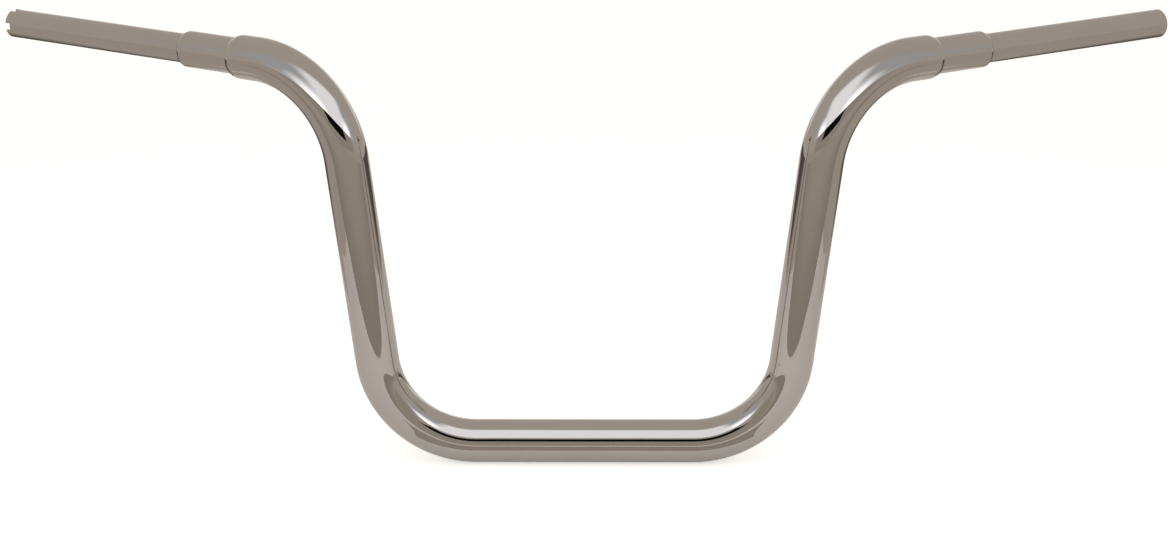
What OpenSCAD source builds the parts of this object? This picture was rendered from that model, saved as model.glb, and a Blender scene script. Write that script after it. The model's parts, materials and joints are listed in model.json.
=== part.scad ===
// Ape hanger handlebar: one fat bent tube, with a slimmer collar and a grip tube stepping out of each end.
// The origin is the middle of the centre section, on its axis. +X runs to the clutch side, +Z goes up the
// uprights, and the grips sweep back to +Y. Sizes are in millimetres and degrees.

/* [Main tube] */
// Outside diameter of the main tube
tube_d = 38.1; // [37:0.1:42]
// Straight length of the centre section
centre_len = 190.5; // [160:0.5:300]
// Centreline radius of all four bends
bend_r = 86; // [60:1:120]
// Turn of each lower bend, from the centre section into the upright
lower_angle = 83.5; // [70:0.5:95]
// Straight length of each upright
upright_len = 184; // [80:1:400]
// Turn of each upper bend, from the upright into the grip line
upper_angle = 85.5; // [70:0.5:100]
// Sweep of the grip lines, back out of the plane of the uprights
sweep = 31; // [0:0.5:50]
// Straight length of the main tube past each upper bend
tube_end_len = 22.5; // [16:0.5:60]
// Length of the rounded nose on each end of the main tube
tube_nose = 8; // [3:0.5:12]

/* [Collars] */
// Outside diameter of the collars
collar_d = 31.75; // [30:0.05:33]
// Length of each collar that shows past the main tube
collar_len = 56; // [45:1:90]
// Length of the rounded nose on the outer end of each collar
collar_nose = 5.5; // [3:0.5:9]

/* [Grip tubes] */
// Outside diameter of the grip tubes
grip_d = 25.4; // [22:0.1:27]
// Wall of the grip tubes
grip_wall = 3.05; // [1.5:0.05:4]
// Length of each grip tube that shows past its collar
grip_len = 200; // [120:1:260]
// Length of each grip tube inside its collar
grip_seat = 42; // [20:1:55]
// How much slimmer in radius the seated length is, which leaves a shoulder
grip_shoulder = 0.25; // [0.15:0.05:0.5]
// Chamfer round the open end of each grip tube
grip_chamfer = 0.7; // [0.3:0.1:1.2]

/* [Throttle side notches] */
// Width of each notch in the open end
notch_w = 6.8; // [4:0.1:9]
// Depth of each notch, along the tube
notch_deep = 5.8; // [3:0.1:12]
// Turn from the notch in the front to the notch in the top
notch_angle = 90; // [70:1:110]

/* [Threaded bungs] */
// Distance between the threads of the two bungs
bolt_spacing = 88.9; // [75:0.1:110]
// Diameter of each bung
bung_d = 20; // [16:0.5:22]
// Height of a bung's inner end above the tube's axis
bung_rise = 8; // [3:0.5:9]
// Depth of a bung's outer end inside the tube's surface
bung_sink = 0.4; // [0.2:0.1:1]
// Diameter of the hole drilled for the thread
tap_drill_d = 10.72; // [8:0.01:12]

/* [Fits] */
// Gap all round where one piece slips into another
slip = 0.06; // [0.03:0.01:0.15]
// Gap between a collar's mouth and the shoulder of its grip tube
shoulder_gap = 0.3; // [0.1:0.1:1]
// Wall left at the mouth of each nose
mouth_lip = 0.9; // [0.5:0.1:1.2]
// Straight bore left between a collar's inner end and the bend
seat_gap = 1.5; // [0.5:0.1:4]

/* [Hidden] */
$fn = 96;
// A bend is drawn this much slimmer in radius, and a straight runs this far into the bends beside it
slim = 0.02;
lap = 0.05;
// How far a cutting tool runs past the face that it cuts
past = 1;
plated = [0.63, 0.61, 0.58];
bare_steel = [0.47, 0.47, 0.48];

tube_r = tube_d / 2;
tube_bore_r = collar_d / 2 + slip;
collar_r = collar_d / 2;
collar_seat = tube_end_len - seat_gap;
grip_r = grip_d / 2;
grip_bore_r = grip_r - grip_wall;
grip_seat_r = grip_r - grip_shoulder;
collar_bore_r = grip_seat_r + slip;

// A straight stretch of round bar along +Z
module straight(r, len) {
    translate([0, 0, -lap]) cylinder(r = r, h = len + 2 * lap);
}

// A bend of round bar that leaves the origin along +Z and turns towards +X
module bend(r, turn) {
    translate([bend_r, 0, 0])
        rotate([-90, 0, 0])
            rotate([0, 0, 180])
                rotate_extrude(angle = turn)
                    translate([bend_r, 0]) circle(r = r - slim);
}

// Carries its children from the start of a bend to its end
module after_bend(turn) {
    translate([bend_r, 0, 0]) rotate([0, turn, 0]) translate([-bend_r, 0, 0]) children();
}

// Both sides of the bar, from the children drawn for the clutch side
module both_sides() {
    children();
    mirror([1, 0, 0]) children();
}

// Where the clutch side's lower bend leaves the centre section
module at_lower_bend() {
    translate([centre_len / 2, 0, 0]) rotate([0, 90, 0]) rotate([0, 0, 180]) children();
}

// The foot of the clutch side's upright
module at_upright() {
    at_lower_bend() after_bend(lower_angle) children();
}

// The top of the upright, turned so that the next bend leads outwards and back
module at_upper_bend() {
    at_upright() translate([0, 0, upright_len]) rotate([0, 0, 180 + sweep]) children();
}

// The start of the grip line, with +Z along it, -X up and -Y to the front
module at_grip_line() {
    at_upper_bend() after_bend(upper_angle) children();
}

// A solid bar along the whole bent centreline, up to the grip lines
module bent_bar(r) {
    translate([-centre_len / 2, 0, 0]) rotate([0, 90, 0]) straight(r, centre_len);
    both_sides() {
        at_lower_bend() bend(r, lower_angle);
        at_upright() straight(r, upright_len);
        at_upper_bend() bend(r, upper_angle);
    }
}

// Half the section of a round piece along +Z, whose nose is an arc that leaves the outside without a corner
module nosed_section(inner_r, outer_r, mouth_r, start, end, nose) {
    drop = outer_r - mouth_r;
    arc_r = (nose * nose + drop * drop) / (2 * drop);
    difference() {
        translate([inner_r, start]) square([outer_r - inner_r, end - start]);
        difference() {
            translate([mouth_r, end - nose]) square([drop + past, nose + past]);
            translate([outer_r - arc_r, end - nose]) circle(r = arc_r);
        }
    }
}

// The straight end of the main tube as a solid, with the nose of the wall that it becomes
module tube_end() {
    rotate_extrude()
        nosed_section(0, tube_r, tube_bore_r + mouth_lip, -lap, tube_end_len, tube_nose);
}

// Places its children at both bungs
module at_bungs() {
    both_sides() translate([bolt_spacing / 2, 0, 0]) children();
}

module main_tube() {
    color(plated)
        difference() {
            union() {
                bent_bar(tube_r);
                both_sides() at_grip_line() tube_end();
            }
            bent_bar(tube_bore_r);
            both_sides() at_grip_line() straight(tube_bore_r, tube_end_len);
            at_bungs()
                translate([0, 0, -tube_r - past])
                    cylinder(d = bung_d + 2 * slip, h = tube_r + past);
        }
}

// Clutch side, seated in the main tube's straight end
module collar() {
    color(plated)
        at_grip_line()
            translate([0, 0, tube_end_len])
                rotate_extrude()
                    nosed_section(collar_bore_r, collar_r, collar_bore_r + mouth_lip,
                        -collar_seat, collar_len, collar_nose);
}

// Clutch side, seated in its collar
module grip_tube() {
    color(plated)
        at_grip_line()
            translate([0, 0, tube_end_len + collar_len])
                rotate_extrude()
                    polygon([
                        [grip_bore_r, -grip_seat],
                        [grip_seat_r, -grip_seat],
                        [grip_seat_r, shoulder_gap],
                        [grip_r, shoulder_gap],
                        [grip_r, grip_len - grip_chamfer],
                        [grip_r - grip_chamfer, grip_len],
                        [grip_bore_r, grip_len]
                    ]);
}

// A notch through one wall of the open end, turned from the front of the tube towards its top
module notch(turn) {
    at_grip_line()
        translate([0, 0, tube_end_len + collar_len + grip_len - notch_deep])
            rotate([0, 0, 270 - turn])
                translate([0, -notch_w / 2, 0])
                    cube([grip_d, notch_w, notch_deep + past]);
}

// A bung in its hole in the underside, curved like the tube, just inside it and tapped right through
module bung(x) {
    color(bare_steel)
        difference() {
            intersection() {
                translate([x, 0, -tube_r - past]) cylinder(d = bung_d, h = tube_r + past + bung_rise);
                translate([-centre_len / 2, 0, 0])
                    rotate([0, 90, 0])
                        cylinder(r = tube_r - bung_sink, h = centre_len);
            }
            translate([x, 0, -tube_r - past])
                cylinder(d = tap_drill_d, h = tube_r + bung_rise + 2 * past);
        }
}

module throttle_side_collar() {
    mirror([1, 0, 0]) collar();
}

module clutch_side_collar() {
    collar();
}

module throttle_side_grip_tube() {
    color(plated)
        mirror([1, 0, 0])
            difference() {
                grip_tube();
                notch(0);
                notch(notch_angle);
            }
}

module clutch_side_grip_tube() {
    grip_tube();
}

module throttle_side_bung() {
    bung(-bolt_spacing / 2);
}

module clutch_side_bung() {
    bung(bolt_spacing / 2);
}

main_tube();
throttle_side_collar();
clutch_side_collar();
throttle_side_grip_tube();
clutch_side_grip_tube();
throttle_side_bung();
clutch_side_bung();
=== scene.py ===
# %% [markdown]
# # A plated ape hanger handlebar
#
# The real bar is a fat steel tube, bent four times and plated bright. A slimmer collar comes out of each
# end of it, and a grip tube comes out of each collar. Everything here is a turned or a bent tube, so
# nearly every shape is one outline, carried round or along by a single operator. What makes it look
# like metal is the room that it reflects, so the room is built with as much care as the bar.

# %% Open the measured frame
import json
import math

import bmesh
import bpy
from mathutils import Matrix, Vector


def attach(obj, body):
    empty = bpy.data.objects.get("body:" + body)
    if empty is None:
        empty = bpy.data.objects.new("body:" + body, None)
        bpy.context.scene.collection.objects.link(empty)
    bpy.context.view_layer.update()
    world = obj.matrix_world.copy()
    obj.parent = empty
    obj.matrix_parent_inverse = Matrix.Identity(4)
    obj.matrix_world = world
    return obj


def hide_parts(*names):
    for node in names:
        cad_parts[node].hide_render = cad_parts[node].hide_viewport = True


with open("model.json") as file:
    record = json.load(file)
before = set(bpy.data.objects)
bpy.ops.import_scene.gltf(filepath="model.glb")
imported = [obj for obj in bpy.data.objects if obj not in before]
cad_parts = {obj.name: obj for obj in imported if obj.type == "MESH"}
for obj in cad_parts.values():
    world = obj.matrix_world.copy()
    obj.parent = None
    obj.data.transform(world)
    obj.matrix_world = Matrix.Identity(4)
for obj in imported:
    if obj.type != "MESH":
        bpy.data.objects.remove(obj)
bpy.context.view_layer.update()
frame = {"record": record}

# %% [markdown]
# ## Sizes
#
# The frame's record knows the sizes that other parts must fit: the clamped centre section, the grips,
# their bores and the threaded holes. They are read from there, so that the looks can't drift away from the
# measured part. The rest are the bar maker's own sizes, written once, in millimetres turned to metres.

# %% Sizes that the record gives
MM = 0.001
mounts = {mount["name"]: mount for mount in frame["record"]["mounts"]}


def mount_size(name, size):
    """One of a mount's sizes, in metres."""
    return mounts[name]["dims"][size] * MM


tube_r = mount_size("centre_section", "r_mm")
centre_len = mount_size("centre_section", "length_mm")
grip_r = mount_size("clutch_side_grip", "r_mm")
grip_bore_r = mount_size("clutch_side_end_bore", "r_mm")
tap_drill_r = mount_size("clutch_side_bolt_hole", "r_mm")
bolt_x = mounts["clutch_side_bolt_hole"]["pos_m"][0]
print("tube", round(2 * tube_r / MM, 2), "mm across, grips", round(2 * grip_r / MM, 2), "mm across")

# %% Sizes of the bends, the noses and the seats
bend_r = 86 * MM
lower_angle = math.radians(83.5)
upright_len = 184 * MM
upper_angle = math.radians(85.5)
sweep = math.radians(31)
tube_end_len = 22.5 * MM
tube_nose = 8 * MM

collar_r = 31.75 / 2 * MM
collar_len = 56 * MM
collar_nose = 5.5 * MM
seat_gap = 1.5 * MM
collar_seat = tube_end_len - seat_gap

grip_len = 200 * MM
grip_seat = 42 * MM
grip_shoulder = 0.25 * MM
grip_chamfer = 0.7 * MM

slip = 0.06 * MM
shoulder_gap = 0.3 * MM
mouth_lip = 0.9 * MM

tube_bore_r = collar_r + slip
grip_seat_r = grip_r - grip_shoulder
collar_bore_r = grip_seat_r + slip
print("collars sit", round(collar_seat / MM, 1), "mm deep, grip tubes", round(grip_seat / MM, 1), "mm")

# %% [markdown]
# ## Where each stretch of the bar lies
#
# A tube bender works from stop to stop: feed this much straight, bend this much, turn the tube, bend
# again. A matrix can follow the same list. Its Z runs along the tube and its X points to the inside of
# the next bend, so each stop is the last one times one small step, and no point is worked out by hand.
# The stops are those of the clutch side. The throttle side is its mirror image.

# %% Follow the tube from stop to stop
ROUND = 96
BEND_STEPS = 60


def feed(length):
    """A step straight along the tube."""
    return Matrix.Translation((0, 0, length))


def after_bend(angle):
    """A step round a bend, from its start to its end."""
    to_axis = Matrix.Translation((bend_r, 0, 0))
    return to_axis @ Matrix.Rotation(angle, 4, "Y") @ to_axis.inverted()


def roll(angle):
    """A turn of the tube about its own length."""
    return Matrix.Rotation(angle, 4, "Z")


middle = Matrix.Rotation(math.radians(90), 4, "Y") @ roll(math.pi)
lower_bend = middle @ feed(centre_len / 2)
upright = lower_bend @ after_bend(lower_angle)
upper_bend = upright @ feed(upright_len) @ roll(math.pi + sweep)
grip_line = upper_bend @ after_bend(upper_angle)
collar_mouth = grip_line @ feed(tube_end_len)
grip_mouth = collar_mouth @ feed(collar_len)
tip = grip_mouth @ feed(grip_len)
print("grip tips reach", [round(c, 4) for c in tip.translation])

# %% [markdown]
# ## Tools for turned pieces
#
# A collar or a grip tube is a piece of lathe work. Its half section is drawn as a closed outline beside
# the axis, and a full spin carries it round. A cylinder with cuts would do too, but the section
# keeps the bore, the lip and the nose in one clean shape. The nose is an arc, so it is made by a spin as
# well: a small one, of a single corner about the arc's centre.

# %% Draw a half section
NOSE_STEPS = 12


def draw_line(bm, start, radius, height):
    """Adds one edge to a section, from a vertex to a new place, and returns the new vertex."""
    end = bm.verts.new((radius, 0, height))
    bm.edges.new((start, end))
    return end


def draw_nose(bm, start, mouth_r, nose):
    """Adds the arc that rounds a section's outside in to its mouth, and returns its last vertex."""
    drop = start.co.x - mouth_r
    arc_r = (nose**2 + drop**2) / (2 * drop)
    centre = start.co - Vector((arc_r, 0, 0))
    turn = math.asin(nose / arc_r)
    arc = bmesh.ops.spin(
        bm, geom=[start], cent=centre, axis=(0, -1, 0), angle=turn, steps=NOSE_STEPS
    )
    return next(part for part in arc["geom_last"] if isinstance(part, bmesh.types.BMVert))


print("the arc of a nose has", NOSE_STEPS, "steps")

# %% Spin it round and soften its rims
RIM_ANGLE = math.radians(40)
SAME_PLACE = 1e-7


def full_spin(bm):
    """Turns a closed half section into a solid, with its faces outwards."""
    bmesh.ops.spin(
        bm,
        geom=bm.verts[:] + bm.edges[:],
        cent=(0, 0, 0),
        axis=(0, 0, 1),
        angle=math.tau,
        steps=ROUND,
        use_merge=True,
    )
    bmesh.ops.remove_doubles(bm, verts=bm.verts, dist=SAME_PLACE)
    bmesh.ops.recalc_face_normals(bm, faces=bm.faces)


def soften(bm, width):
    """Bevels the sharp rings and rims, as deburring and polishing do."""
    sharp = [e for e in bm.edges if len(e.link_faces) == 2 and e.calc_face_angle() > RIM_ANGLE]
    bmesh.ops.bevel(
        bm,
        geom=sharp,
        offset=width,
        offset_type="OFFSET",
        segments=2,
        profile=0.5,
        affect="EDGES",
        clamp_overlap=True,
        material=-1,
    )


print("a full turn has", ROUND, "steps")

# %% Give a piece its finish and its place in the frame
CREASE_ANGLE = math.radians(50)
LARGE_FACES_FIRST = 100


def linked_object(name, bm):
    """Makes an object of a bmesh, links it to the scene and frees the bmesh."""
    mesh = bpy.data.meshes.new(name)
    bm.to_mesh(mesh)
    bm.free()
    made = bpy.data.objects.new(name, mesh)
    bpy.context.scene.collection.objects.link(made)
    return made


def finish_piece(name, bm, node, finishes):
    """Makes an object of a mesh, gives it its finishes and lets it stand for a CAD node."""
    piece = linked_object(name, bm)
    for finish in finishes:
        piece.data.materials.append(finish)
    piece.data.shade_smooth()
    piece.data.set_sharp_from_angle(angle=CREASE_ANGLE)
    even = piece.modifiers.new("Even normals", "WEIGHTED_NORMAL")
    even.keep_sharp = True
    even.weight = LARGE_FACES_FIRST
    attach(piece, "root")
    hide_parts(node)
    return piece


print("edges that turn more than", round(math.degrees(CREASE_ANGLE)), "degrees stay crisp")

# %% Cut one mesh with another
CUT_SOLVER = "EXACT"


def cut(bm, cutter, operation="DIFFERENCE"):
    """Cuts one closed mesh with another, and returns the result as a new bmesh."""
    blank, tool = linked_object("blank", bm), linked_object("cutter", cutter)
    boolean = blank.modifiers.new("cut", "BOOLEAN")
    boolean.object = tool
    boolean.operation = operation
    boolean.solver = CUT_SOLVER
    whole = blank.evaluated_get(bpy.context.evaluated_depsgraph_get())
    result = bmesh.new()
    result.from_mesh(whole.to_mesh())
    whole.to_mesh_clear()
    for used in (blank, tool):
        mesh = used.data
        bpy.data.objects.remove(used)
        bpy.data.meshes.remove(mesh)
    return result


print("the solver for cuts is", CUT_SOLVER)

# %% [markdown]
# ## The plating
#
# Bright plating has hardly any colour of its own. It mirrors the room, a little darker and warmer. Two
# faults of real plating are what the eye reads as metal and not as glass: the steel under it was polished
# by hand, so straight reflections waver a little, and the last polish leaves a faint haze that isn't even.
# Both are noise in Object coordinates. They are made once, in a group that puts out a roughness and a
# height, and each finish uses it with its own numbers.

# %% A node group for hand polishing
NOISE_LOW = 0.35
NOISE_HIGH = 0.65


def add_socket(group, title, direction, kind, value=None):
    """Adds one input or output to a node group."""
    socket = group.interface.new_socket(name=title, in_out=direction, socket_type=kind)
    if value is not None:
        socket.default_value = value


def polish_group():
    """A group that gives the haze and the waver that polishing leaves."""
    group = bpy.data.node_groups.new("Hand polish", "ShaderNodeTree")
    add_socket(group, "Least roughness", "INPUT", "NodeSocketFloat", 0.02)
    add_socket(group, "Most roughness", "INPUT", "NodeSocketFloat", 0.06)
    add_socket(group, "Haze scale", "INPUT", "NodeSocketFloat", 40.0)
    add_socket(group, "Waver scale", "INPUT", "NodeSocketFloat", 25.0)
    add_socket(group, "Roughness", "OUTPUT", "NodeSocketFloat")
    add_socket(group, "Height", "OUTPUT", "NodeSocketFloat")
    nodes, links = group.nodes, group.links
    given = nodes.new("NodeGroupInput")
    out = nodes.new("NodeGroupOutput")
    place = nodes.new("ShaderNodeTexCoord")
    haze = nodes.new("ShaderNodeTexNoise")
    haze.inputs["Detail"].default_value = 4.0
    spread = nodes.new("ShaderNodeMapRange")
    spread.inputs["From Min"].default_value = NOISE_LOW
    spread.inputs["From Max"].default_value = NOISE_HIGH
    waver = nodes.new("ShaderNodeTexNoise")
    waver.inputs["Detail"].default_value = 1.0
    links.new(place.outputs["Object"], haze.inputs["Vector"])
    links.new(place.outputs["Object"], waver.inputs["Vector"])
    links.new(given.outputs["Haze scale"], haze.inputs["Scale"])
    links.new(given.outputs["Waver scale"], waver.inputs["Scale"])
    links.new(haze.outputs["Fac"], spread.inputs["Value"])
    links.new(given.outputs["Least roughness"], spread.inputs["To Min"])
    links.new(given.outputs["Most roughness"], spread.inputs["To Max"])
    links.new(spread.outputs["Result"], out.inputs["Roughness"])
    links.new(waver.outputs["Fac"], out.inputs["Height"])
    return group


hand_polish = polish_group()
print("group:", hand_polish.name, [item.name for item in hand_polish.interface.items_tree])

# %% [markdown]
# ## Two finishes
#
# The outside is plated. The bores and the bungs never see the plating bath well, so they are bare steel,
# greyer and rougher, with the fine marks that a reamer or a lathe leaves. The marks are too small to be
# told apart, so the same group stands for them with a much finer noise. A colour Mix node keeps its two
# colours in inputs 6 and 7 and its result in output 2, which get names here.

# %% Plated and bare steel
PLATE_COLOUR = (0.50, 0.48, 0.455, 1.0)
PLATE_SHADE = (0.47, 0.45, 0.425, 1.0)
STEEL_COLOUR = (0.36, 0.355, 0.35, 1.0)
STEEL_SHADE = (0.20, 0.195, 0.19, 1.0)
UNDER, OVER, MIXED = 6, 7, 2
CLOUD_SIZE = 3


def metal(name, bright, dull, roughness, haze_scale, waver_scale, waver_depth):
    """A metal whose colour, gloss and flatness vary a little over the surface."""
    made = bpy.data.materials.new(name)
    made.use_nodes = True
    nodes, links = made.node_tree.nodes, made.node_tree.links
    shader = nodes["Principled BSDF"]
    shader.inputs["Metallic"].default_value = 1.0
    polish = nodes.new("ShaderNodeGroup")
    polish.node_tree = hand_polish
    polish.inputs["Least roughness"].default_value = roughness[0]
    polish.inputs["Most roughness"].default_value = roughness[1]
    polish.inputs["Haze scale"].default_value = haze_scale
    polish.inputs["Waver scale"].default_value = waver_scale
    place = nodes.new("ShaderNodeTexCoord")
    cloud = nodes.new("ShaderNodeTexNoise")
    cloud.inputs["Scale"].default_value = haze_scale / CLOUD_SIZE
    tint = nodes.new("ShaderNodeMix")
    tint.data_type = "RGBA"
    tint.inputs[UNDER].default_value = bright
    tint.inputs[OVER].default_value = dull
    bump = nodes.new("ShaderNodeBump")
    bump.inputs["Distance"].default_value = waver_depth
    links.new(place.outputs["Object"], cloud.inputs["Vector"])
    links.new(cloud.outputs["Fac"], tint.inputs[0])
    links.new(tint.outputs[MIXED], shader.inputs["Base Color"])
    links.new(polish.outputs["Roughness"], shader.inputs["Roughness"])
    links.new(polish.outputs["Height"], bump.inputs["Height"])
    links.new(bump.outputs["Normal"], shader.inputs["Normal"])
    return made


plated = metal(
    "Bright plating",
    PLATE_COLOUR,
    PLATE_SHADE,
    roughness=(0.02, 0.05),
    haze_scale=45,
    waver_scale=18,
    waver_depth=0.3 * MM,
)
bare_steel = metal(
    "Bare steel",
    STEEL_COLOUR,
    STEEL_SHADE,
    roughness=(0.28, 0.42),
    haze_scale=260,
    waver_scale=900,
    waver_depth=0.02 * MM,
)
print("finishes:", plated.name, "and", bare_steel.name)

# %% [markdown]
# ## The main tube
#
# On the real bar this is one length of tube that goes through a bender four times. A curve with a round
# bevel could draw it, but a curve spaces its rings as it likes, and mirror-bright metal shows every
# uneven ring. Here one ring of edges is fed and spun along the stops above, once at the outside
# radius and once at the bore's. The two skins are joined at the mouth, and the half is mirrored.

# %% Feed and bend a ring of edges


def extruded(bm, ring, stop, end):
    """Feeds a ring straight from one stop to the next."""
    made = bmesh.ops.extrude_edge_only(bm, edges=ring)["geom"]
    verts = [part for part in made if isinstance(part, bmesh.types.BMVert)]
    bmesh.ops.translate(bm, verts=verts, vec=end.translation - stop.translation)
    return [part for part in made if isinstance(part, bmesh.types.BMEdge)]


def bent(bm, ring, stop, angle):
    """Spins a ring about the bend's axis, which lies beside the stop."""
    made = bmesh.ops.spin(
        bm,
        geom=ring,
        cent=stop @ Vector((bend_r, 0, 0)),
        axis=stop.to_3x3() @ Vector((0, 1, 0)),
        angle=angle,
        steps=BEND_STEPS,
    )
    return [part for part in made["geom_last"] if isinstance(part, bmesh.types.BMEdge)]


def half_skin(bm, radius, end_feed):
    """Draws one skin of the clutch side half, and returns the ring at its open end."""
    made = bmesh.ops.create_circle(bm, cap_ends=False, segments=ROUND, radius=radius, matrix=middle)
    ring = list({edge for vert in made["verts"] for edge in vert.link_edges})
    ring = extruded(bm, ring, middle, lower_bend)
    ring = bent(bm, ring, lower_bend, lower_angle)
    ring = extruded(bm, ring, upright, upper_bend)
    ring = bent(bm, ring, upper_bend, upper_angle)
    return extruded(bm, ring, grip_line, grip_line @ feed(end_feed))


print("a lower bend is", round(bend_r * lower_angle / MM, 1), "mm long, in", BEND_STEPS, "steps")

# %% Round the nose, close the mouth and mirror the half
SEAM_GAP = 1e-6


def narrowed(bm, ring, stop, end, share):
    """Feeds a ring to the next stop and scales it about the tube's axis there."""
    ring = extruded(bm, ring, stop, end)
    verts = list({vert for edge in ring for vert in edge.verts})
    bmesh.ops.scale(bm, vec=(share, share, share), verts=verts, space=end.inverted())
    return ring


def nosed(bm, ring, mouth_r, nose):
    """Rounds the outer skin in to the mouth along an arc, one narrower ring at a time."""
    drop = tube_r - mouth_r
    arc_r = (nose**2 + drop**2) / (2 * drop)
    start = grip_line @ feed(tube_end_len - nose)
    last_r = tube_r
    for step in range(1, NOSE_STEPS + 1):
        angle = math.asin(nose / arc_r) * step / NOSE_STEPS
        radius = tube_r - arc_r * (1 - math.cos(angle))
        end = grip_line @ feed(tube_end_len - nose + arc_r * math.sin(angle))
        ring = narrowed(bm, ring, start, end, radius / last_r)
        start, last_r = end, radius
    return ring


bm = bmesh.new()
outer_end = half_skin(bm, tube_r, tube_end_len - tube_nose)
outer_end = nosed(bm, outer_end, tube_bore_r + mouth_lip, tube_nose)
narrowed(bm, outer_end, collar_mouth, collar_mouth, tube_bore_r / (tube_bore_r + mouth_lip))
outer_faces = len(bm.faces)
half_skin(bm, tube_bore_r, tube_end_len)
bm.faces.ensure_lookup_table()
for face in bm.faces[outer_faces:]:
    face.material_index = 1
bmesh.ops.mirror(bm, geom=bm.verts[:] + bm.edges[:] + bm.faces[:], axis="X", merge_dist=SEAM_GAP)
bmesh.ops.remove_doubles(bm, verts=bm.verts, dist=2 * SEAM_GAP)
bmesh.ops.recalc_face_normals(bm, faces=bm.faces)
print("main tube:", len(bm.faces), "faces, open edges:", sum(e.is_boundary for e in bm.edges))
print("steel in it:", round(bm.calc_volume() * 1e6, 1), "cubic centimetres")

# %% [markdown]
# ### Holes for the bungs
#
# The fabricator drills two holes in the underside of the centre section before the bungs go in. A drill
# is a cylinder, so each hole is a Boolean cut by one. The underside is hidden in most views, but a part
# in a library gets turned over.

# %% Drill the underside
bung_r = 10 * MM
bung_rise = 8 * MM
bung_sink = 0.4 * MM
bung_rim = 64
past = 1 * MM


def rod(radius, low, high, x):
    """A closed upright cylinder between two heights."""
    made = bmesh.new()
    bmesh.ops.create_cone(
        made,
        cap_ends=True,
        segments=bung_rim,
        radius1=radius,
        radius2=radius,
        depth=high - low,
        matrix=Matrix.Translation((x, 0, (low + high) / 2)),
    )
    return made


for x in (-bolt_x, bolt_x):
    bm = cut(bm, rod(bung_r + slip, -tube_r - past, 0, x))
main_tube = finish_piece("plated_main_tube", bm, "main_tube", [plated, bare_steel])
low, high = (Vector(main_tube.bound_box[corner]) for corner in (0, 6))
print("main tube:", [round(c, 4) for c in low], "to", [round(c, 4) for c in high])

# %% [markdown]
# ## The collars
#
# Each collar is a turned sleeve that steps the tube down from the fat size to the grip size. Only its
# outer part shows. The rest is seated in the main tube, and is drawn too, because the mouth of the tube
# shows a dark line where the seat begins.

# %% Turn the collars
SIDES = (("clutch", Matrix.Identity(4)), ("throttle", Matrix.Scale(-1, 4, (1, 0, 0))))
collar_rim = 0.2 * MM


def collar_mesh():
    """A collar along Z, with the main tube's mouth at height 0."""
    made = bmesh.new()
    first = made.verts.new((collar_bore_r, 0, -collar_seat))
    corner = draw_line(made, first, collar_r, -collar_seat)
    corner = draw_line(made, corner, collar_r, collar_len - collar_nose)
    corner = draw_nose(made, corner, collar_bore_r + mouth_lip, collar_nose)
    corner = draw_line(made, corner, collar_bore_r, collar_len)
    made.edges.new((corner, first))
    full_spin(made)
    soften(made, collar_rim)
    return made


for side, turn_over in SIDES:
    bm = collar_mesh()
    bmesh.ops.transform(bm, matrix=turn_over @ collar_mouth, verts=bm.verts)
    bmesh.ops.recalc_face_normals(bm, faces=bm.faces)
    collar = finish_piece(f"plated_{side}_collar", bm, f"{side}_side_collar", [plated])
    print(collar.name, len(collar.data.polygons), "faces")

# %% [markdown]
# ## The grip tubes
#
# The slim ends are thick-walled tube, chamfered at the open end. Where it is seated in the collar the
# tube is a hair slimmer, which leaves a shoulder that stops at the collar's mouth. The throttle side has
# two notches in its end, one in front and one on top, that hold the throttle. A notch is a
# milled slot, so its cutter is a block, and the block's edges are rounded like the mill's corners. The
# faces of the bore get the second finish, bare steel.

# %% Turn a grip tube
grip_rim = 0.08 * MM
bore_margin = 0.01 * MM


def grip_mesh():
    """A grip tube along Z, with the collar's mouth at height 0."""
    made = bmesh.new()
    first = made.verts.new((grip_bore_r, 0, -grip_seat))
    corner = draw_line(made, first, grip_seat_r, -grip_seat)
    corner = draw_line(made, corner, grip_seat_r, shoulder_gap)
    corner = draw_line(made, corner, grip_r, shoulder_gap)
    corner = draw_line(made, corner, grip_r, grip_len - grip_chamfer)
    corner = draw_line(made, corner, grip_r - grip_chamfer, grip_len)
    corner = draw_line(made, corner, grip_bore_r, grip_len)
    made.edges.new((corner, first))
    full_spin(made)
    soften(made, grip_rim)
    for face in made.faces:
        centre = face.calc_center_median()
        if math.hypot(centre.x, centre.y) < grip_bore_r + bore_margin:
            face.material_index = 1
    return made


print("wall of the grip tubes:", round((grip_r - grip_bore_r) / MM, 2), "mm")

# %% Shape the cutter for a notch
notch_w = 6.8 * MM
notch_deep = 5.8 * MM
notch_angle = math.radians(90)
notch_corner = 0.8 * MM


def notch_cutter(angle):
    """A block through one wall of the open end, turned from the front towards the top."""
    made = bmesh.new()
    reach = grip_r * 2
    height = notch_deep * 2
    bmesh.ops.create_cube(made, size=1)
    bmesh.ops.scale(made, vec=(reach, notch_w, height), verts=made.verts)
    along = [e for e in made.edges if abs(e.verts[0].co.x - e.verts[1].co.x) > reach / 2]
    bmesh.ops.bevel(
        made,
        geom=along,
        offset=notch_corner,
        offset_type="OFFSET",
        segments=5,
        profile=0.5,
        affect="EDGES",
        material=-1,
    )
    bmesh.ops.translate(made, vec=(reach / 2, 0, grip_len - notch_deep + height / 2), verts=made.verts)
    bmesh.ops.rotate(
        made, cent=(0, 0, 0), matrix=Matrix.Rotation(-math.pi / 2 - angle, 3, "Z"), verts=made.verts
    )
    return made


print("a notch is", round(notch_w / MM, 1), "mm wide and", round(notch_deep / MM, 1), "mm deep")

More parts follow.
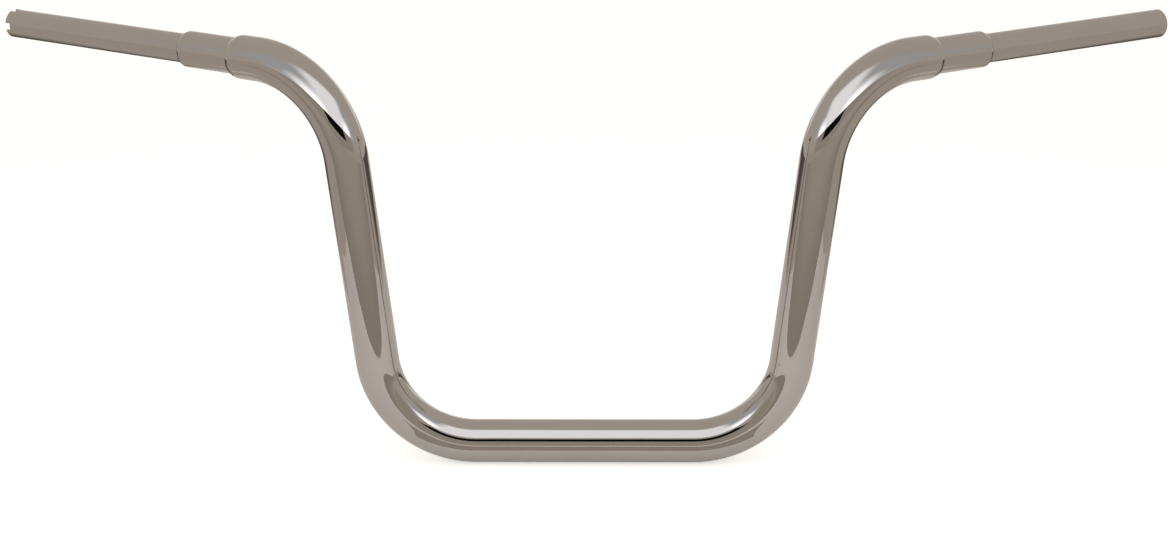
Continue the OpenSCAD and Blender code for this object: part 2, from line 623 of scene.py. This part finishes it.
# %% Notch the throttle side and seat both
for side, turn_over in SIDES:
    bm = grip_mesh()
    if side == "throttle":
        bm = cut(bm, notch_cutter(0))
        bm = cut(bm, notch_cutter(notch_angle))
    bmesh.ops.transform(bm, matrix=turn_over @ grip_mouth, verts=bm.verts)
    bmesh.ops.recalc_face_normals(bm, faces=bm.faces)
    grip = finish_piece(
        f"plated_{side}_grip_tube", bm, f"{side}_side_grip_tube", [plated, bare_steel]
    )
    print(grip.name, len(grip.data.polygons), "faces")

# %% [markdown]
# ## The threaded bungs
#
# A bung is a short round of steel, fixed in the underside of the tube and threaded right through, by
# which the bar is held down. Its lower end follows the tube's curve, just inside it, so that it never
# stands proud. The thread could be a bump, but a close look from below would show a smooth bore, so it
# is cut for real. One pitch of the thread's section is spun up a helix, with a small climb at each step.
# Its turns merge into one skin, two planes trim the ends, and the closed rod cuts the bung as a tap does.

# %% Spin a tap for a half inch thread, 13 to the inch
pitch = 25.4 / 13 * MM
thread_r = 12.7 / 2 * MM
turn_steps = 48
spare_turns = 3
low_trim = 1.5 * pitch
high_trim = pitch


def tap():
    """A closed threaded rod along Z, as long as the bung and a little more."""
    made = bmesh.new()
    # The flats and the flank of the thread are shares of its pitch.
    crest = pitch / 4
    flank = pitch * 5 / 16
    root = pitch / 8
    low = -tube_r - spare_turns * pitch
    turns = math.ceil((bung_rise - low) / pitch) + spare_turns
    corner = made.verts.new((tap_drill_r, 0, low))
    corner = draw_line(made, corner, tap_drill_r, low + crest)
    corner = draw_line(made, corner, thread_r, low + crest + flank)
    corner = draw_line(made, corner, thread_r, low + crest + flank + root)
    draw_line(made, corner, tap_drill_r, low + pitch)
    bmesh.ops.spin(
        made,
        geom=made.verts[:] + made.edges[:],
        cent=(0, 0, 0),
        axis=(0, 0, 1),
        dvec=(0, 0, pitch / turn_steps),
        angle=math.tau * turns,
        steps=turn_steps * turns,
    )
    bmesh.ops.remove_doubles(made, verts=made.verts, dist=SAME_PLACE)
    for height, side in ((-tube_r - low_trim, -1), (bung_rise + high_trim, 1)):
        bmesh.ops.bisect_plane(
            made,
            geom=made.verts[:] + made.edges[:] + made.faces[:],
            plane_co=(0, 0, height),
            plane_no=(0, 0, side),
            clear_outer=True,
        )
    bmesh.ops.holes_fill(made, edges=[e for e in made.edges if e.is_boundary])
    bmesh.ops.recalc_face_normals(made, faces=made.faces)
    return made


print("thread:", round(2 * thread_r / MM, 2), "mm across, with a pitch of", round(pitch / MM, 3), "mm")

# %% Turn, curve and tap the bungs
curve_steps = 192


def bung_mesh():
    """A tapped bung below the origin, its lower end curved like the tube."""
    made = rod(bung_r, -tube_r - past, bung_rise, 0)
    inside = bmesh.new()
    bmesh.ops.create_cone(
        inside,
        cap_ends=True,
        segments=curve_steps,
        radius1=tube_r - bung_sink,
        radius2=tube_r - bung_sink,
        depth=centre_len,
        matrix=middle,
    )
    made = cut(made, inside, "INTERSECT")
    return cut(made, tap())


for side, x in (("throttle", -bolt_x), ("clutch", bolt_x)):
    bm = bung_mesh()
    bmesh.ops.translate(bm, vec=(x, 0, 0), verts=bm.verts)
    print(side, "bung:", len(bm.faces), "faces, open edges:", sum(e.is_boundary for e in bm.edges))
    finish_piece(f"tapped_{side}_bung", bm, f"{side}_side_bung", [bare_steel])

# %% [markdown]
# ## The camera
#
# The photograph was taken from a little above, through a long lens. Its place was found by matching the
# edges of the tube. The lens is a little shorter than the one that the match gave, so that both tips
# stay in the frame, which is 1168 pixels wide and 558 high.

# %% Stand the camera where the photographer stood
camera_place = Vector((0.0178, -2.1104, 0.9251))
camera_aim = Vector((-0.0006, 0.0491, 0.1338))
camera_roll = math.radians(-0.11)
sensor_mm = 36
lens_mm = 80.3

lens = bpy.data.cameras.new("Long lens")
lens.sensor_width = sensor_mm
lens.lens = lens_mm
camera = bpy.data.objects.new("Camera", lens)
bpy.context.scene.collection.objects.link(camera)
look = (camera_aim - camera_place).to_track_quat("-Z", "Y").to_matrix().to_4x4()
camera.matrix_world = Matrix.Translation(camera_place) @ look @ Matrix.Rotation(camera_roll, 4, "Z")
bpy.context.scene.camera = camera
print("camera is", round((camera_aim - camera_place).length, 3), "m from its aim")

# %% [markdown]
# ## The floor
#
# The centre section rests on a white sheet. A white floor under plain light renders a little grey, so
# the sheet glows for the camera, and about a quarter as much in reflections. The glow adds to the
# shading, so the shadow of the bar stays on the sheet.

# %% Lay the white sheet
PAPER = (0.80, 0.765, 0.73, 1)
WHITE = (1, 1, 1, 1)
floor_r = 9.0
floor_rim = 128
sheet_glow = 0.6
mirrored_share = 0.28


def chained(nodes, links, operation, values):
    """Chains Math nodes over several outputs and plain numbers, and returns the last output."""
    total = values[0]
    for value in values[1:]:
        step = nodes.new("ShaderNodeMath")
        step.operation = operation
        for socket, given in zip(step.inputs, (total, value)):
            if isinstance(given, bpy.types.NodeSocket):
                links.new(given, socket)
            else:
                socket.default_value = given
        total = step.outputs[0]
    return total


def sheet_material():
    """White paper that glows for the camera, and less in reflections."""
    made = bpy.data.materials.new("White sheet")
    made.use_nodes = True
    nodes, links = made.node_tree.nodes, made.node_tree.links
    nodes.remove(nodes["Principled BSDF"])
    paper = nodes.new("ShaderNodeBsdfDiffuse")
    paper.inputs["Color"].default_value = PAPER
    glow = nodes.new("ShaderNodeEmission")
    glow.inputs["Color"].default_value = WHITE
    ray = nodes.new("ShaderNodeLightPath")
    mirrored = chained(
        nodes, links, "MAXIMUM", [ray.outputs["Is Glossy Ray"], ray.outputs["Is Transmission Ray"]]
    )
    fainter = chained(nodes, links, "MULTIPLY", [mirrored, mirrored_share])
    seen = chained(nodes, links, "MAXIMUM", [ray.outputs["Is Camera Ray"], fainter])
    links.new(chained(nodes, links, "MULTIPLY", [seen, sheet_glow]), glow.inputs["Strength"])
    both = nodes.new("ShaderNodeAddShader")
    links.new(paper.outputs[0], both.inputs[0])
    links.new(glow.outputs[0], both.inputs[1])
    links.new(both.outputs[0], nodes["Material Output"].inputs["Surface"])
    return made


bm = bmesh.new()
bmesh.ops.create_circle(
    bm, cap_ends=True, segments=floor_rim, radius=floor_r, matrix=Matrix.Translation((0, 0, -tube_r))
)
floor = linked_object("Sheet", bm)
floor.data.materials.append(sheet_material())
print("the sheet lies", round(tube_r / MM, 2), "mm below the bar's axis")

# %% [markdown]
# ## The room in the metal
#
# Look at the bar in a photograph and most of what it shows is the room around the camera: pale walls,
# a darker stretch in front, low down, and a white backdrop behind. The world's colour is worked out from
# the direction of each ray, with smooth edges. Each edge below is two places along Y or Z between which
# one colour gives way to the other. A picture of a room would do the same, but these few masks can be
# read and changed.

# %% Paint the room by direction
WALLS = (0.615, 0.563, 0.515, 1)
IN_FRONT = (0.46, 0.41, 0.365, 1)
BEHIND = (1.0, 0.99, 0.97, 1)
front_edge = (-0.42, -0.7)
front_top = (0.36, 0.26)
behind_edge = (0.6, 0.85)
behind_top = (0.24, 0.12)


def mask(nodes, links, value, edge_from, edge_to, first=0.0, last=1.0):
    """A soft step from a first number to a last, as a value goes from one edge to the other."""
    step = nodes.new("ShaderNodeMapRange")
    step.interpolation_type = "SMOOTHSTEP"
    step.inputs["From Min"].default_value = edge_from
    step.inputs["From Max"].default_value = edge_to
    step.inputs["To Min"].default_value = first
    step.inputs["To Max"].default_value = last
    links.new(value, step.inputs["Value"])
    return step.outputs["Result"]


def painted(nodes, links, under, colour, where):
    """Lays a colour over another one where all the masks are 1."""
    mix = nodes.new("ShaderNodeMix")
    mix.data_type = "RGBA"
    links.new(chained(nodes, links, "MULTIPLY", where), mix.inputs[0])
    if isinstance(under, tuple):
        mix.inputs[UNDER].default_value = under
    else:
        links.new(under, mix.inputs[UNDER])
    mix.inputs[OVER].default_value = colour
    return mix.outputs[MIXED]


world = bpy.data.worlds.new("Room")
bpy.context.scene.world = world
world.use_nodes = True
nodes, links = world.node_tree.nodes, world.node_tree.links
direction = nodes.new("ShaderNodeTexCoord")
axes = nodes.new("ShaderNodeSeparateXYZ")
links.new(direction.outputs["Generated"], axes.inputs[0])
back, up = axes.outputs["Y"], axes.outputs["Z"]
in_front = [mask(nodes, links, back, *front_edge), mask(nodes, links, up, *front_top)]
behind = [mask(nodes, links, back, *behind_edge), mask(nodes, links, up, *behind_top)]
room = painted(nodes, links, WALLS, IN_FRONT, in_front)
room = painted(nodes, links, room, BEHIND, behind)
ray = nodes.new("ShaderNodeLightPath")
room = painted(nodes, links, room, WHITE, [ray.outputs["Is Camera Ray"]])
links.new(room, nodes["Background"].inputs["Color"])
print("room:", len(nodes), "nodes")

# %% [markdown]
# ## Cards around the bar
#
# A mirror finish is lit by cards, not by lamps. Each card here is one flat rectangle that glows with its
# own colour and that only the metal sees. To the metal the sheet ends 0.30 m in front of the bar and 0.62
# m out at its sides, and a brown table goes on from there: the uprights mirror it as a tall dark stripe. A
# brown strip just in front of the centre section gives that its brown band and the lower bends their dark
# patches. Out behind the grips the table darkens into painted shade, a dark card for the grips' shadow on
# the floor, which gives their lower edges a firm line. A black flag before the camera's place gives the
# thin dark line right under the highlights, which is what makes bright plating look deep.

# %% Make cards that only the metal sees
card_lift = 1 * MM
card_z = card_lift - tube_r


def plain_card(title, colour):
    """A card of one even brightness."""
    made = bpy.data.materials.new(title)
    made.use_nodes = True
    nodes, links = made.node_tree.nodes, made.node_tree.links
    nodes.remove(nodes["Principled BSDF"])
    shine = nodes.new("ShaderNodeEmission")
    shine.inputs["Color"].default_value = (*colour, 1)
    links.new(shine.outputs[0], nodes["Material Output"].inputs["Surface"])
    return made


def hang_card(title, material, near, far):
    """A rectangle between two edges that run along X, hidden from all but the metal."""
    bm = bmesh.new()
    bmesh.ops.create_grid(bm, x_segments=1, y_segments=1, size=0.5)
    width, depth = far.x - near.x, Vector((0, far.y - near.y, far.z - near.z))
    bmesh.ops.scale(bm, vec=(width, depth.length, 1), verts=bm.verts)
    tilt = Matrix.Rotation(math.atan2(depth.z, depth.y), 3, "X")
    bmesh.ops.rotate(bm, cent=(0, 0, 0), matrix=tilt, verts=bm.verts)
    bmesh.ops.translate(bm, vec=(near + far) / 2, verts=bm.verts)
    card = linked_object(title, bm)
    card.data.materials.append(material)
    card.visible_camera = False
    card.visible_diffuse = False
    card.visible_shadow = False
    return card


def lay_card(title, material, x_edges, y_edges):
    """Lays a card flat, just above the sheet, between two places along X and two along Y."""
    near_x, far_x = sorted(x_edges)
    near_y, far_y = y_edges
    hang_card(title, material, Vector((near_x, near_y, card_z)), Vector((far_x, far_y, card_z)))


print("the cards of the table lie", round(card_lift / MM, 1), "mm above the sheet")

# %% Colour the brown table and the painted shade behind the grips
TABLE_NEAR = (0.395, 0.35, 0.31)
TABLE_FAR = (0.52, 0.465, 0.405)
TABLE_SIDE = (0.56, 0.50, 0.45)
TABLE_STRIP = (0.444, 0.387, 0.362)
# Painted shade: the dark colour that the card behind each grip fades to, for the grips' shadow on the
# floor, seen only in the metal.
GRIP_SHADE_PAINT = (0.13, 0.11, 0.095)
front_grade = (-0.25, -0.95)
dark_grade = (0.20, 0.50)


def graded_card(title, near_colour, far_colour, near_y, far_y):
    """A card whose colour changes smoothly from one place to another along Y."""
    made = plain_card(title, near_colour)
    nodes, links = made.node_tree.nodes, made.node_tree.links
    place = nodes.new("ShaderNodeTexCoord")
    axes = nodes.new("ShaderNodeSeparateXYZ")
    links.new(place.outputs["Object"], axes.inputs[0])
    far_off = mask(nodes, links, axes.outputs["Y"], near_y, far_y)
    colour = painted(nodes, links, (*near_colour, 1), (*far_colour, 1), [far_off])
    links.new(colour, nodes["Emission"].inputs["Color"])
    return made


front_table = graded_card("Brown table", TABLE_NEAR, TABLE_FAR, *front_grade)
side_table = plain_card("Pale brown table", TABLE_SIDE)
strip_table = plain_card("Brown strip", TABLE_STRIP)
# Painted shade: a card that goes from the pale table colour to dark, back along Y, behind the grips.
shade = graded_card("Painted shade behind the grips", TABLE_SIDE, GRIP_SHADE_PAINT, *dark_grade)
print("table:", [paint.name for paint in (front_table, side_table, strip_table, shade)])

# %% Lay the table and the painted shade, and hang the flag
FLAG_CLOTH = (0.006, 0.006, 0.007)
sheet_front = -0.30
sheet_side = 0.62
strip_front = -0.045
strip_back = -0.15
strip_side = 0.16
front_side = 1.3
table_end = 8.8
dark_inner = 0.50
dark_outer = 1.8
dark_front = 0.10
dark_back = 1.75
flag_low = Vector((-0.6, -1.4, 0.44))
flag_high = Vector((0.6, -1.4, 0.80))

lay_card("Table in front", front_table, (-front_side, front_side), (-table_end, sheet_front))
lay_card("Strip in front", strip_table, (-strip_side, strip_side), (strip_back, strip_front))
for side, sign in (("throttle", -1), ("clutch", 1)):
    side_edges = (sign * sheet_side, sign * table_end)
    far_edges = (sign * front_side, sign * table_end)
    dark_edges = (sign * dark_inner, sign * dark_outer)
    lay_card(f"Table, {side} side", side_table, side_edges, (sheet_front, dark_front))
    lay_card(f"Far table, {side} side", side_table, far_edges, (-table_end, sheet_front))
    # Painted shade behind each grip: a dark card, seen only in the metal, where the grips' shadow falls.
    lay_card(f"Painted shade behind the grips, {side} side", shade, dark_edges, (dark_front, dark_back))
hang_card("Flag", plain_card("Black flag cloth", FLAG_CLOTH), flag_low, flag_high)
print("the table starts", -sheet_front, "m in front of the bar and", sheet_side, "m out at its sides")

# %% [markdown]
# ## The soft light
#
# One large soft light hangs in front of the bar and above it. It makes the bright stripe along the
# centre section and the crescents on the upper bends. It is a card that glows by itself: even in the
# middle, and at the sides brightest along its front edge, so that the crescents are white below and
# fade into grey above. Its ends and its back edge fade to clear, because a hard or a dark edge would
# show as a line in the metal. It lights the sheet too, so it isn't hidden from it. Each pair below is
# two places, outwards along X or back along Y, between which the light changes.

# %% Hang the soft light
light_front = Vector((-1.7, -0.69, 0.51))
light_back = Vector((1.7, -0.08, 0.81))
light_colour = (0.945, 0.95, 1.0)
middle_glow = 1.5
side_start = (0.18, 0.40)
side_glow = 2.9
far_glow = 0.85
side_fade = (0.45, 0.95)
back_share = 0.2
back_fade = (light_front.y, light_front.y + 0.40)
least_glow = 0.62
end_fade = (light_back.x, 1.0)
rear_fade = (light_back.y, light_back.y - 0.12)


def light_material():
    """A glow that is even in the middle, fades towards the back at the sides, and has clear edges."""
    made = plain_card("Soft light", light_colour)
    nodes, links = made.node_tree.nodes, made.node_tree.links
    place = nodes.new("ShaderNodeTexCoord")
    axes = nodes.new("ShaderNodeSeparateXYZ")
    links.new(place.outputs["Object"], axes.inputs[0])
    out = nodes.new("ShaderNodeMath")
    out.operation = "ABSOLUTE"
    links.new(axes.outputs["X"], out.inputs[0])
    outwards, back = out.outputs[0], axes.outputs["Y"]
    at_side = mask(nodes, links, outwards, *side_start)
    front_glow = mask(nodes, links, outwards, *side_fade, side_glow, far_glow)
    share = mask(nodes, links, back, *back_fade, 1.0, back_share)
    side = chained(nodes, links, "MULTIPLY", [front_glow, share])
    side = chained(nodes, links, "MAXIMUM", [side, least_glow])
    more = chained(nodes, links, "SUBTRACT", [side, middle_glow])
    more = chained(nodes, links, "MULTIPLY", [more, at_side])
    links.new(chained(nodes, links, "ADD", [more, middle_glow]), nodes["Emission"].inputs["Strength"])
    to_end = mask(nodes, links, outwards, *end_fade)
    to_back = mask(nodes, links, back, *rear_fade)
    clear = nodes.new("ShaderNodeBsdfTransparent")
    edge = nodes.new("ShaderNodeMixShader")
    links.new(chained(nodes, links, "MULTIPLY", [to_end, to_back]), edge.inputs["Fac"])
    links.new(clear.outputs[0], edge.inputs[1])
    links.new(nodes["Emission"].outputs[0], edge.inputs[2])
    links.new(edge.outputs[0], nodes["Material Output"].inputs["Surface"])
    return made


light = hang_card("Soft light", light_material(), light_front, light_back)
light.visible_diffuse = True
print("the soft light is", round(light_back.x - light_front.x, 2), "m wide")

# %% [markdown]
# ## Colours as they are
#
# The Standard view shows each colour about as it was written.

# %% Finish
bpy.context.scene.view_settings.view_transform = "Standard"
